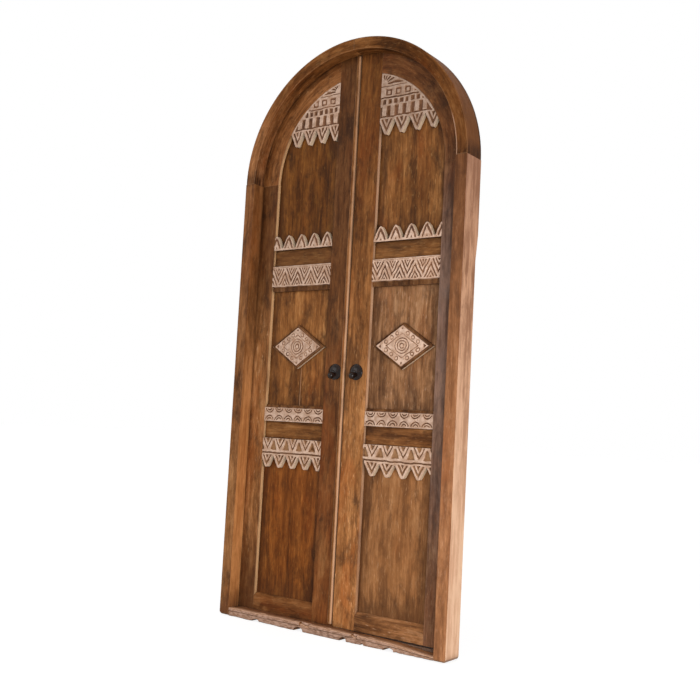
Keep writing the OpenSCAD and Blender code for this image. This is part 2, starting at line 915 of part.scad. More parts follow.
module rose_profile() {
  polygon(concat([[0, 0], [rose_r, 0]],
                 [for (i = [0:6]) let (x = rose_r - i * (rose_r - rivet_r) / 6) [x, rose_rim + dome_z(x)]],
                 [[rivet_r * 0.85, rose_h + 4], [rivet_r * 0.5, rose_h + 6], [0, rose_h + 6.5]]));
}

module pull_rose() {
  color(iron)
    translate([pull_x, leaf_y, pull_z])
      difference() {
        rotate([90, 0, 0]) rotate_extrude() rose_profile();
        translate([0, 1, -knob_drop]) rotate([90, 0, 0]) cylinder(r = stud_r, h = rose_h + 10);
      }
}

module pull_knob() {
  color(iron)
    translate([pull_x, leaf_y - knob_out, pull_z - knob_drop])
      union() {
        sphere(knob_r);
        rotate([-90, 0, 0]) cylinder(r = stud_r, h = knob_out + leaf_t + 10);
      }
}

module pull_nut() {
  color(iron)
    translate([pull_x, leaf_back, pull_z - knob_drop])
      difference() {
        union() {
          rotate([-90, 0, 0]) cylinder(r = 11, h = 2.5);
          translate([-7.5, 2, -7.5]) cube([15, 7, 15]);
        }
        translate([0, -1, 0]) rotate([-90, 0, 0]) cylinder(r = stud_r, h = 20);
      }
}

// Hardware groups.
module hinge_pins() {
  color(iron)
    union() {
      for (z = hinge_z) knuckle(z - hinge_h / 2, z + hinge_h / 2, pin_r);
      for (z = hinge_z) flip() knuckle(z - hinge_h / 2, z + hinge_h / 2, pin_r);
    }
}

module frame_hinge_screws() {
  color(iron)
    union() {
      for (z = hinge_z) frame_screws(z);
      for (z = hinge_z) flip() frame_screws(z);
    }
}

module leaf_hinge_screws() {
  color(iron)
    union() {
      for (z = hinge_z) leaf_screws(z);
    }
}

module iron_frame_plate(z) {
  color(iron) frame_hinge_plate(z);
}

module iron_leaf_plate(z) {
  color(iron) leaf_hinge_plate(z);
}

left_jamb();
right_jamb();
left_arch_segment();
right_arch_segment();
sill();
flip() iron_frame_plate(hinge_low);  // left_low_frame_hinge_plate
flip() iron_frame_plate(hinge_mid);  // left_mid_frame_hinge_plate
flip() iron_frame_plate(hinge_top);  // left_top_frame_hinge_plate
iron_frame_plate(hinge_low);  // right_low_frame_hinge_plate
iron_frame_plate(hinge_mid);  // right_mid_frame_hinge_plate
iron_frame_plate(hinge_top);  // right_top_frame_hinge_plate
hinge_pins();
frame_hinge_screws();
flip() hinge_stile();  // left_hinge_stile
flip() meeting_stile();  // left_meeting_stile
flip() arch_rail();  // left_arch_rail
flip() plain_rail(upper_rail_z);  // left_upper_rail
flip() plain_rail(lower_rail_z);  // left_lower_rail
flip() bottom_rail();  // left_bottom_rail
flip() arched_panel();  // left_upper_panel
flip() flat_panel(lower_rail_top, upper_rail_z);  // left_middle_panel
flip() flat_panel(bottom_rail_top, lower_rail_z);  // left_lower_panel
left_meeting_bead();
flip() tympanum_carving(pitch_left, 0.24, tymp_left_up);  // left_tympanum_carving
flip() cresting(pitch_left, pitch_left * 0.43);  // left_cresting
flip() chevron_band(chevron_pitch * 0.5);  // left_chevron_band
flip() diamond();  // left_diamond
flip() scallop_band();  // left_scallop_band
flip() lappet_band(pitch_left, pitch_left * 0.2);  // left_lappet_band
flip() pull_rose();  // left_pull_rose
flip() pull_knob();  // left_pull_knob
flip() pull_nut();  // left_pull_nut
flip() iron_leaf_plate(hinge_low);  // left_low_leaf_hinge_plate
flip() iron_leaf_plate(hinge_mid);  // left_mid_leaf_hinge_plate
flip() iron_leaf_plate(hinge_top);  // left_top_leaf_hinge_plate
flip() leaf_hinge_screws();  // left_hinge_screws
hinge_stile();  // right_hinge_stile
meeting_stile();  // right_meeting_stile
arch_rail();  // right_arch_rail
plain_rail(upper_rail_z);  // right_upper_rail
plain_rail(lower_rail_z);  // right_lower_rail
bottom_rail();  // right_bottom_rail
arched_panel();  // right_upper_panel
flat_panel(lower_rail_top, upper_rail_z);  // right_middle_panel
flat_panel(bottom_rail_top, lower_rail_z);  // right_lower_panel
tympanum_carving(pitch_top, 0.43);  // right_tympanum_carving
cresting(pitch_right, pitch_right * 0.43);  // right_cresting
chevron_band(chevron_pitch * 0.83);  // right_chevron_band
diamond();  // right_diamond
scallop_band();  // right_scallop_band
lappet_band(pitch_right, pitch_right * 0.6);  // right_lappet_band
pull_rose();  // right_pull_rose
pull_knob();  // right_pull_knob
pull_nut();  // right_pull_nut
iron_leaf_plate(hinge_low);  // right_low_leaf_hinge_plate
iron_leaf_plate(hinge_mid);  // right_mid_leaf_hinge_plate
iron_leaf_plate(hinge_top);  // right_top_leaf_hinge_plate
leaf_hinge_screws();  // right_hinge_screws
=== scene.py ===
import json
import math

import bmesh
import bpy
import numpy as np
from mathutils import Matrix, Vector
from mathutils.bvhtree import BVHTree

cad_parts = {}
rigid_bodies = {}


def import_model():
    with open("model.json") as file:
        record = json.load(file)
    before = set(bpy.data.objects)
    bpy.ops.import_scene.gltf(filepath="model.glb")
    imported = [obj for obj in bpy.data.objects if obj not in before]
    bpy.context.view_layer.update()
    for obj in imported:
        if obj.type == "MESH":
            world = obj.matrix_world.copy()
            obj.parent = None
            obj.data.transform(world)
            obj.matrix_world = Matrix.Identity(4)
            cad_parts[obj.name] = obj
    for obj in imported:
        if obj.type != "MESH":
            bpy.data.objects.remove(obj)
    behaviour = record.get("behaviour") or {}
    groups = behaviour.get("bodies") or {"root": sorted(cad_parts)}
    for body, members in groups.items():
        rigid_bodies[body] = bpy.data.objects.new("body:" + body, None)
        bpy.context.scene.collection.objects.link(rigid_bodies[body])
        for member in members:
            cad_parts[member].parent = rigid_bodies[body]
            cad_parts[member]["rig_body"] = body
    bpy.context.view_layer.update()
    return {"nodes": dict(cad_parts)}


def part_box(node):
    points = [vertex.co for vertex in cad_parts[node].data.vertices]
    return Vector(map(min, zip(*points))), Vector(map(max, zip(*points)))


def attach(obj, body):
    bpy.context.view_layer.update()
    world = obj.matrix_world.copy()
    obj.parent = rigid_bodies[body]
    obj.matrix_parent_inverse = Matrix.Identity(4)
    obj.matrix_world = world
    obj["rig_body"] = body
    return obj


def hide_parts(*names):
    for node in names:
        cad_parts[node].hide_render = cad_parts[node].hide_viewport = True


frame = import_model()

NODES = frame["nodes"]

# Metres, from the door's own measures.
SPRING_Z = 1.646
ARCH_R = 0.49
STOP_R = 0.446
REBATE_R = 0.458
FRAME_FRONT = -0.048
FRAME_BACK = 0.048
STOP_Y = 0.005
SILL_BACK_Z = 0.024
LEAF_FACE = 0.006
CARVE_DEPTH = 0.006

# Tone of each timber against the common stain, left and right as they are seen.
# Two tones blend from the lower part of a piece to the upper. The lighter, greyer lower tones, most of
# all on the right, are partly the wood's own and partly painted light from low on the right.
PLAIN = (1.0, 1.0, 1.0)
TONES = {
    "left_arch_segment": ((1.22, 1.28, 1.62), (0.86, 0.82, 0.76)),
    "right_arch_segment": ((0.56, 0.5, 0.44), (0.76, 0.72, 0.65)),
    "left_jamb": ((1.15, 1.22, 1.38), (0.78, 0.74, 0.74)),
    "right_jamb": ((1.78, 2.0, 2.9), (0.68, 0.66, 0.76)),
    "left_hinge_stile": ((1.32, 1.42, 1.62), (0.5, 0.46, 0.44)),
    "left_arch_rail": (0.95, 0.89, 0.86),
    "right_hinge_stile": ((1.3, 1.45, 1.8), (0.65, 0.6, 0.6)),
    "right_arch_rail": ((1.3, 1.45, 1.8), (0.65, 0.6, 0.6)),
    "left_meeting_stile": ((0.78, 0.73, 0.7), (0.48, 0.44, 0.4)),
    "right_meeting_stile": ((1.76, 1.9, 2.15), (0.66, 0.56, 0.34)),
    "left_upper_panel": (0.68, 0.58, 0.29), "right_upper_panel": (0.88, 0.86, 0.74),
    "left_middle_panel": (1.01, 0.97, 0.84), "right_middle_panel": (1.24, 1.5, 2.2),
    "left_lower_panel": (0.88, 0.67, 0.38), "right_lower_panel": (1.36, 1.5, 1.82),
    "left_upper_rail": (0.6, 0.58, 0.5), "right_upper_rail": (0.8, 0.82, 0.78),
    "left_lower_rail": (0.75, 0.73, 0.65), "right_lower_rail": (0.92, 0.92, 0.95),
    "left_bottom_rail": (0.8, 0.76, 0.76), "right_bottom_rail": (1.25, 1.38, 1.8),
    "sill": (0.95, 0.95, 1.0),
}
# Heights between which two tones blend, where a piece doesn't give its own.
BLEND_SPAN = (0.2, 1.9)
# How far the grain is evened out in the panels that look scrubbed.
CALM = {"right_lower_panel": 0.35, "right_middle_panel": 0.15, "left_lower_panel": 0.1}

CARVED = ("tympanum_carving", "cresting", "chevron_band", "diamond", "scallop_band", "lappet_band")
# Brightness of the whitewash, where it isn't as on most carvings.
WHITE = {
    "right_tympanum_carving": 0.78, "right_cresting": 1.1, "right_chevron_band": 1.14,
    "right_diamond": 1.16, "right_lappet_band": 1.06,
}
# How pale the floors of the wide cuts are in the lappet bands: painted light, paler where ambient
# occlusion finds them open.
LAPPET_LIT_FLOOR = 0.85
# Share of the full depth in the carvings that are worn shallow.
SHALLOW = {"diamond": 0.5, "chevron_band": 0.75, "cresting": 0.62}
# The row of squares in the tympanum, as shares of its height, is worn too.
WORN_ROW = (0.6, 0.765)
WORN_ROW_SHARE = 0.5

# The carved faces: spacing of their samples, the least wood behind them, how far round a node the
# samples go on, counted in samples, and how far in front of it the rays that read it start.
GRID = 0.00125
LEAST_WOOD = 0.0008
MARGIN = 2.5
RAY_LEAD = 0.01
# Steepest walls of a cut and of a step down, and how many samples such a wall may reach over.
CUT_SLOPE, CUT_REACH = 3.0, 3
STEP_SLOPE, STEP_REACH = 7.0, 2
# The carver's hand: how strong each unevenness is, and how many samples wide its lumps are.
# The wobble is in samples, the uneven depth a share, the hollows and dents in metres.
WOBBLE, WOBBLE_CELL = 1.6, 16
UNEVEN, UNEVEN_CELL = 0.18, 9
HOLLOW, HOLLOW_CELL = 0.00035, 22
DENT, DENT_CELL = 0.00012, 4

# The worn sill's heights, as pairs of a share of its half width and a height.
SILL_TOP = ((-1.0, 0.033), (-0.22, 0.033), (0.0, 0.032), (0.28, 0.031), (0.62, 0.0285), (1.0, 0.014))
SILL_REAR = ((-1.0, 0.033), (0.0, 0.0264), (1.0, 0.013))
SILL_BASE = ((-1.0, 0.0), (0.35, 0.0), (1.0, 0.002))
# Chips in it, each with its middle, half its width and its depth. The middles along the crown are in
# metres and the depths there are shares. The middles along the foot are shares of the half width.
CROWN_CHIPS = ((-0.083, 0.022, 1.0), (0.134, 0.012, 0.8))
FOOT_CHIPS = ((-0.7, 0.016, 0.01), (-0.25, 0.02, 0.014), (0.19, 0.014, 0.014),
              (0.37, 0.006, 0.006), (0.61, 0.02, 0.011))
SILL_STATIONS = 430
SILL_SEED = 31
# How far the block behind each stop reaches into the worn part.
STOP_OVERLAP = 0.001

# The open seam in one panel: its place across the door, and the height where it ends.
SEAM_PANEL = "left_middle_panel"
SEAM = {"middle": -0.218, "top": 0.96}

# Widths of the eased arrises.
ARCH_EASE = 0.003
JAMB_EASE = 0.004
LEAF_EASE = 0.002
PULL_EASE = 0.0008

# The camera fitted to the photograph.
CAMERA_PLACE = Vector((1.98611, -2.67662, 0.73685))
CAMERA_RIGHT = Vector((0.80715, 0.58797, 0.05285))
CAMERA_UP = Vector((0.00425, -0.09532, 0.99543))
CAMERA_LENS = 47.976
# Lamps: name, place, the point each looks at, size and power.
LAMPS = (
    ("key", (2.4, -1.9, 0.25), (0.0, 0.0, 0.8), 1.5, 95.0),
    ("fill", (-2.2, -3.8, 2.2), (0.0, 0.0, 1.0), 3.0, 60.0),
)


def srgb(r, g, b):
    """A colour given as 0 to 255 display values, as linear RGBA."""
    def lin(v):
        v /= 255
        return v / 12.92 if v <= 0.04045 else ((v + 0.055) / 1.055) ** 2.4
    return (lin(r), lin(g), lin(b), 1.0)


WORN_LIT_STILE = srgb(244, 192, 138)
WORN_LIT_MEETING = srgb(228, 180, 142)


class Graph:
    """Short calls for building one node tree."""

    def __init__(self, tree):
        self.tree = tree

    def put(self, socket, value):
        if isinstance(value, bpy.types.NodeSocket):
            self.tree.links.new(value, socket)
        elif value is not None:
            socket.default_value = value

    def add(self, kind, **settings):
        made = self.tree.nodes.new("ShaderNode" + kind)
        for key, value in settings.items():
            setattr(made, key, value)
        return made

    def math(self, op, a, b=None):
        made = self.add("Math", operation=op)
        for socket, value in zip(made.inputs, (a, b)):
            self.put(socket, value)
        return made.outputs[0]

    def plus(self, a, b):
        return self.math("ADD", a, b)

    def minus(self, a, b):
        return self.math("SUBTRACT", a, b)

    def times(self, a, b):
        return self.math("MULTIPLY", a, b)

    def least(self, a, b):
        return self.math("MINIMUM", a, b)

    def most(self, a, b):
        return self.math("MAXIMUM", a, b)

    def abs(self, value):
        return self.math("ABSOLUTE", value)

    def hypot(self, a, b):
        return self.math("SQRT", self.plus(self.times(a, a), self.times(b, b)))

    def vec(self, op, a, b):
        made = self.add("VectorMath", operation=op)
        for socket, value in zip(made.inputs, (a, b)):
            self.put(socket, value)
        return made.outputs[0]

    def split(self, vector):
        made = self.add("SeparateXYZ")
        self.put(made.inputs[0], vector)
        return made.outputs

    def join(self, x, y, z):
        made = self.add("CombineXYZ")
        for socket, value in zip(made.inputs, (x, y, z)):
            self.put(socket, value)
        return made.outputs[0]

    def here(self):
        """The point's place in the door's frame at rest."""
        return self.add("TexCoord").outputs["Object"]

    def position(self):
        return self.split(self.here())

    def normal(self):
        return self.split(self.add("TexCoord").outputs["Normal"])

    def noise(self, vector, stretch, detail=3.0, rough=0.55, distort=0.0):
        made = self.add("TexNoise")
        self.put(made.inputs["Vector"], self.vec("MULTIPLY", vector, stretch))
        made.inputs["Scale"].default_value = 1.0
        made.inputs["Detail"].default_value = detail
        made.inputs["Roughness"].default_value = rough
        made.inputs["Distortion"].default_value = distort
        return made.outputs[0]

    def remap(self, value, low, high, to_low=0.0, to_high=1.0, smooth=True):
        made = self.add("MapRange", interpolation_type="SMOOTHSTEP" if smooth else "LINEAR")
        for key, item in enumerate((value, low, high, to_low, to_high)):
            self.put(made.inputs[key], item)
        return made.outputs[0]

    def mix(self, factor, a, b, blend="MIX"):
        made = self.add("Mix", data_type="RGBA", blend_type=blend)
        self.put(made.inputs[0], factor)
        self.put(made.inputs[6], a)
        self.put(made.inputs[7], b)
        return made.outputs[2]

    def tint(self, colour, shade):
        return self.mix(1.0, colour, shade, "MULTIPLY")

    def coats(self, colour, *layers):
        """Layers laid over a colour in turn, each given as its amount and its own colour."""
        for amount, layer in layers:
            colour = self.mix(amount, colour, layer)
        return colour

    def ramp(self, factor, stops):
        made = self.add("ValToRGB")
        self.put(made.inputs[0], factor)
        elements = made.color_ramp.elements
        elements[0].position, elements[0].color = stops[0]
        elements[1].position, elements[1].color = stops[-1]
        for position, colour in stops[1:-1]:
            elements.new(position).color = colour
        return made.outputs[0]

    def openness(self, distance):
        """Ambient occlusion: 1 in the open, and less in a corner."""
        made = self.add("AmbientOcclusion", samples=6)
        made.inputs["Distance"].default_value = distance
        return made.outputs["AO"]

    def bump(self, height, strength, distance):
        made = self.add("Bump")
        made.inputs["Strength"].default_value = strength
        made.inputs["Distance"].default_value = distance
        self.put(made.inputs["Height"], height)
        return made.outputs[0]


def group_sockets(tree, inputs, outputs):
    for name, kind in inputs:
        tree.interface.new_socket(name, in_out="INPUT", socket_type="NodeSocket" + kind)
    for name, kind in outputs:
        tree.interface.new_socket(name, in_out="OUTPUT", socket_type="NodeSocket" + kind)


def grain_place(g, vector, seed):
    """Coordinates moved by the seed, wandering sideways a little along the grain."""
    shift = g.join(g.times(seed, 3.17), g.times(seed, 1.93), g.times(seed, 5.71))
    moved = g.vec("ADD", vector, shift)
    x, y, z = g.split(moved)
    wander = g.minus(g.noise(moved, (5.0, 5.0, 1.6), detail=2.0), 0.5)
    return g.join(g.plus(x, g.times(wander, 0.045)), y, z)


def figure(g, place, across, along, **settings):
    """Noise with its own scale across the grain and along it."""
    return g.noise(place, (across, across, along), **settings)


def growth_rings(g, place):
    """Growth rings, seen as long lines and cathedrals."""
    heart = figure(g, place, 2.2, 0.8, detail=1.0)
    sideways = g.times(g.split(place)["X"], 1.1)
    ring = g.math("FRACT", g.times(g.plus(heart, sideways), 34.0))
    return g.math("POWER", ring, 2.4)


def grain_colour(g, place, tone, fibre, pores):
    """Stain by tone. Blotches, rings, fibres, pores and hand-rubbed patches lie over it."""
    stain = [(0.34, srgb(60, 33, 15)), (0.43, srgb(106, 63, 29)), (0.5, srgb(140, 88, 45)),
             (0.57, srgb(168, 111, 62)), (0.67, srgb(208, 150, 96))]
    blotch = figure(g, place, 7.0, 2.2, detail=4.0, rough=0.62)
    dark = figure(g, place, 15.0, 5.0, detail=5.0, rough=0.68, distort=0.4)
    rubbed = figure(g, place, 18.0, 9.0, detail=5.0, rough=0.68, distort=0.4)
    scratch = figure(g, place, 300.0, 34.0, detail=2.0, rough=0.6)
    return g.coats(
        g.ramp(tone, stain),
        (g.remap(blotch, 0.5, 0.7, 0.0, 0.45), srgb(152, 78, 30)),
        (g.remap(dark, 0.52, 0.68, 0.0, 0.62), srgb(56, 32, 16)),
        (g.times(growth_rings(g, place), 0.16), srgb(66, 36, 15)),
        (g.remap(fibre, 0.35, 0.65, 0.26, 0.0), srgb(56, 31, 15)),
        (g.remap(pores, 0.62, 0.72, 0.0, 0.5), srgb(40, 23, 12)),
        (g.remap(rubbed, 0.54, 0.74, 0.0, 0.4), srgb(190, 136, 84)),
        (g.remap(rubbed, 0.48, 0.3, 0.0, 0.6), srgb(62, 36, 19)),
        (g.remap(scratch, 0.62, 0.74, 0.0, 0.4), srgb(206, 158, 108)))


def make_grain_group():
    """Old stained timber with the grain along Z: colour, height for bump, and tone."""
    tree = bpy.data.node_groups.new("old_timber", "ShaderNodeTree")
    group_sockets(tree, [("Vector", "Vector"), ("Seed", "Float")],
                  [("Color", "Color"), ("Height", "Float"), ("Tone", "Float")])
    g = Graph(tree)
    source = tree.nodes.new("NodeGroupInput")
    sink = tree.nodes.new("NodeGroupOutput")
    place = grain_place(g, source.outputs["Vector"], source.outputs["Seed"])
    streak = figure(g, place, 80.0, 5.0, detail=5.0, rough=0.66, distort=0.2)
    band = figure(g, place, 20.0, 3.0, detail=4.0, rough=0.6)
    mottle = figure(g, place, 34.0, 13.0, detail=5.0, rough=0.7, distort=0.4)
    fibre = figure(g, place, 430.0, 26.0, detail=3.0, rough=0.6)
    pores = figure(g, place, 900.0, 30.0, detail=1.0, rough=0.5)
    tone = g.plus(g.times(streak, 0.36), g.times(band, 0.34))
    tone = g.plus(tone, g.times(mottle, 0.3))
    height = g.plus(g.times(fibre, 0.35), g.times(streak, 0.65))
    height = g.minus(height, g.times(g.remap(pores, 0.6, 0.72), 0.3))
    g.put(sink.inputs["Color"], grain_colour(g, place, tone, fibre, pores))
    g.put(sink.inputs["Height"], height)
    g.put(sink.inputs["Tone"], tone)
    return tree


GRAIN = make_grain_group()


def grain_vector(g, way):
    """Coordinates whose Z runs with the grain: across the door, up it, or up and round the arch."""
    x, y, z = g.position()
    if way == "across":
        return g.join(z, y, x)
    if way == "up":
        return g.join(x, y, z)
    rise = g.minus(z, SPRING_Z)
    over = g.most(rise, 0.0)
    turn = g.times(g.math("ARCTAN2", over, g.abs(x)), ARCH_R)
    return g.join(g.hypot(x, over), y, g.plus(turn, g.least(rise, 0.0)))


def begin(name):
    mat = bpy.data.materials.new(name)
    mat.use_nodes = True
    return mat, Graph(mat.node_tree), mat.node_tree.nodes["Principled BSDF"]


def begin_wood(name, way, seed):
    """A new material with its graph, its shader and the grain that it is coloured from."""
    mat, g, bsdf = begin(name)
    grain = g.add("Group", node_tree=GRAIN)
    g.put(grain.inputs["Vector"], grain_vector(g, way))
    grain.inputs["Seed"].default_value = seed
    return mat, g, bsdf, grain.outputs


def rub_arrises(g, colour, grain, strength):
    """Paler wood where an eased arris between a front and a side has been rubbed."""
    nx, ny, nz = g.normal()
    turn = g.least(g.hypot(nx, nz), g.abs(ny))
    rub = g.times(g.remap(turn, 0.25, 0.6), g.remap(grain["Tone"], 0.38, 0.56, 0.25, 1.0))
    return g.mix(g.times(rub, strength), colour, srgb(200, 152, 112))


def finish_wood(g, bsdf, colour, grain, grime_and_shade=0.5, rub=0.5, sheen=0.1):
    """Corners darkened by ambient occlusion, partly soiling and partly painted shade; sheen and bump.
    """
    if rub:
        colour = rub_arrises(g, colour, grain, rub)
    # Painted shade: the corners and recesses that ambient occlusion finds are darkened, partly standing
    # for soiling.
    dirt_and_shade = g.remap(g.openness(0.03), 0.3, 0.8, grime_and_shade, 0.0)
    g.put(bsdf.inputs["Base Color"], g.mix(dirt_and_shade, colour, srgb(34, 19, 10)))
    g.put(bsdf.inputs["Roughness"], g.remap(grain["Tone"], 0.3, 0.7, 0.66, 0.5))
    bsdf.inputs["Specular IOR Level"].default_value = sheen
    g.put(bsdf.inputs["Normal"], g.bump(grain["Height"], 0.6, 0.0012))


def stained(g, grain, shade, span=BLEND_SPAN, calm=0.0):
    """The grain's colour times a shade, or times two shades that blend over a span of height. Where the
    lower shade is the lighter, the blend is partly painted light.

    calm is how far the grain is evened out.
    """
    if isinstance(shade[0], tuple):
        low, high = shade
        shade = g.mix(g.remap(g.position()["Z"], *span), low + (1.0,), high + (1.0,))
    else:
        shade = shade + (1.0,)
    return g.tint(g.mix(calm, grain["Color"], srgb(122, 75, 39)), shade)


def ragged(g, grain, amount):
    """A length that follows the grain, for uneven borders."""
    return g.times(g.minus(grain["Tone"], 0.5), amount)


def darken_border(g, colour, grain, low, high):
    """Darker wood spreading in from the border of a panel, given its corners."""
    place = g.position()
    across = g.least(g.minus(place["X"], low.x), g.minus(high.x, place["X"]))
    along = g.least(g.minus(place["Z"], low.z), g.minus(high.z, place["Z"]))
    near = g.plus(g.least(across, g.times(along, 0.6)), ragged(g, grain, 0.22))
    return g.mix(g.remap(near, 0.01, 0.075, 0.5, 0.0), colour, srgb(54, 32, 18))


def painted_sheen_veil(g, colour, grain, veil):
    """Painted sheen: a grey film over the lower part of a piece, standing for a reflection of the
    light.
    """
    z = g.position()["Z"]
    sheen_grey = g.mix(g.remap(grain["Tone"], 0.42, 0.58), srgb(94, 75, 67), srgb(143, 118, 107))
    amount = g.times(g.remap(z, 1.3, 1.75, veil, 0.0), g.remap(z, 0.1, 0.7, 0.5, 1.0))
    return g.mix(amount, colour, sheen_grey)


def dark_foot(g, colour, grain, foot):
    """Darker towards the bottom of a piece."""
    height = g.plus(g.position()["Z"], ragged(g, grain, 0.4))
    return g.mix(g.remap(height, 0.06, 0.5, foot, 0.0), colour, srgb(76, 42, 20))


def worn_and_lit_right_faces(g, colour, grain, low, high, near, worn_colour, span=(0.25, 0.85)):
    """Pale wood on the faces that look to the door's right: partly wear, partly painted light from the
    lamp on that side.

    low and high say how pale it is below and above a span of height, and near how much of that
    is left next to the front arris.
    """
    place = g.position()
    toward_lamp = g.remap(g.normal()["X"], 0.45, 0.8)
    pale = g.remap(place["Z"], span[0], span[1], low, high)
    deep = g.remap(place["Y"], LEAF_FACE + 0.001, LEAF_FACE + 0.007, near, 1.0)
    worn = g.times(deep, g.remap(grain["Tone"], 0.36, 0.5, 0.45, 1.0))
    return g.mix(g.times(g.times(toward_lamp, pale), worn), colour, worn_colour)


def open_seam(g, colour, middle, top):
    """An open joint between two boards, below the given height: a dark line and a pale arris."""
    place = g.position()
    off = g.minus(place["X"], middle)
    below = g.remap(place["Z"], top, top - 0.05, 0.0, 0.45)
    gap = g.remap(g.abs(g.plus(off, 0.005)), 0.004, 0.001)
    arris = g.remap(g.abs(off), 0.003, 0.0012)
    return g.coats(colour, (g.times(gap, below), srgb(40, 24, 14)),
                   (g.times(arris, below), srgb(190, 142, 104)))


def wood(name, way, seed, shade, rub=0.5, grime_and_shade=0.5, **wear):
    """Stained timber. rub is how pale the eased arrises are, and grime_and_shade how dark the corners,
    partly soiling and partly painted shade.

    wear may hold span and calm as stained() takes them, border (two corners of a panel darkened along
    its border), veil (a painted sheen), foot, edge (pale right faces, partly painted light) and seam,
    each as its own function takes it.
    """
    mat, g, bsdf, grain = begin_wood(name, way, seed)
    colour = stained(g, grain, shade, wear.get("span", BLEND_SPAN), wear.get("calm", 0.0))
    if "border" in wear:
        colour = darken_border(g, colour, grain, *wear["border"])
    if "veil" in wear:
        colour = painted_sheen_veil(g, colour, grain, wear["veil"])
    if "foot" in wear:
        colour = dark_foot(g, colour, grain, wear["foot"])
    if "edge" in wear:
        colour = worn_and_lit_right_faces(g, colour, grain, **wear["edge"])
    if "seam" in wear:
        colour = open_seam(g, colour, **wear["seam"])
    finish_wood(g, bsdf, colour, grain, grime_and_shade, rub)
    return mat


def bare_and_lit_side(g, colour, grain, bare):
    """Bare wood on the outer right side, palest towards the foot; that paleness is partly painted
    light, brighter low down as from a lamp low on the right.
    """
    place = g.position()
    z = place["Z"]
    tone = g.remap(grain["Tone"], 0.42, 0.58)
    foot = g.mix(tone, srgb(232, 180, 144), srgb(252, 208, 172))
    # Paler towards the foot and darker at the top: partly the bare wood, partly painted light.
    raw = g.coats(
        g.mix(tone, srgb(158, 110, 80), srgb(222, 168, 132)),
        (g.remap(z, 0.15, 1.3, 0.95, 0.0), foot),
        (g.remap(z, 1.2, 1.7, 0.0, 0.5), srgb(166, 116, 90)),
        (g.remap(z, 0.0, 0.03, 0.6, 0.0), srgb(140, 96, 70)))
    outside = g.times(g.remap(g.normal()["X"], 0.5, 0.85),
                      g.remap(place["X"], ARCH_R - 0.02, ARCH_R - 0.004))
    return g.mix(g.times(outside, bare), colour, raw)


def lit_reveal(g, colour, grain, reveal):
    """A reveal towards the leaves painted a lighter orange-brown as lit, most low down: painted light.
    A dark foot just over the sill.
    """
    z = g.position()["Z"]
    toward_lamp = g.remap(g.normal()["X"], 0.5, 0.85)
    lit_orange = g.mix(g.remap(grain["Tone"], 0.38, 0.6), srgb(178, 112, 60), srgb(230, 160, 98))
    low = g.times(g.remap(z, 0.5, 1.15, 1.0, 0.15), g.remap(z, 0.03, 0.15, 0.3, 1.0))
    return g.coats(colour, (g.times(g.times(toward_lamp, low), reveal), lit_orange),
                   (g.remap(z, 0.01, 0.11, 0.45, 0.0), srgb(96, 62, 42)))


def jamb_wood(name, seed, shade):
    """A jamb: the right one bare on its outer side, the left one with a reveal painted lighter as lit.
    """
    mat, g, bsdf, grain = begin_wood(name + "_wood", "bend", seed)
    if name == "right_jamb":
        bare = 0.92
        colour = bare_and_lit_side(g, stained(g, grain, shade, calm=0.4 * bare), grain, bare)
    else:
        colour = lit_reveal(g, stained(g, grain, shade), grain, 0.9)
    finish_wood(g, bsdf, colour, grain, grime_and_shade=0.3)
    return mat


def arch_wood(name, seed, shade):
    """An arch segment: painted shade, nearly black, along the back of its outer surface, and darker
    just above its foot.

    Its outer surface is pulled towards mid brown, painted light to even out how it is lit. The lowest
    part of the right one's inner arris has a painted highlight.
    """
    mat, g, bsdf, grain = begin_wood(name + "_wood", "bend", seed)
    x, y, z = g.position()
    rise = g.minus(z, SPRING_Z)
    radius = g.hypot(x, rise)
    # Painted light: the outer surface is pulled half way to a mid brown.
    outer = g.times(g.remap(radius, ARCH_R - 0.008, ARCH_R - 0.002),
                    g.remap(g.normal()["Y"], -0.8, -0.4))
    # Painted shade: near black towards the back of the outer surface.
    back = g.times(outer, g.remap(y, 0.028, 0.047, 0.0, 0.75))
    # Darker just above the spring.
    darker_over_spring = g.times(g.remap(rise, 0.07, 0.015), g.remap(grain["Tone"], 0.56, 0.44, 0.3, 0.75))
    # Painted highlight on the lowest part of the right segment's inner arris.
    inner = g.times(g.remap(radius, STOP_R + 0.006, STOP_R + 0.002), g.remap(rise, 0.16, 0.12))
    gleam = 0.75 if name.startswith("right") else 0.0
    colour = g.coats(
        stained(g, grain, shade, (SPRING_Z, SPRING_Z + ARCH_R)),
        (g.times(outer, 0.5), srgb(146, 92, 54)),
        (back, srgb(34, 22, 15)),
        (darker_over_spring, srgb(46, 28, 19)),
        (g.times(inner, gleam), srgb(208, 162, 132)))
    finish_wood(g, bsdf, colour, grain, grime_and_shade=0.3, sheen=0.04)
    return mat


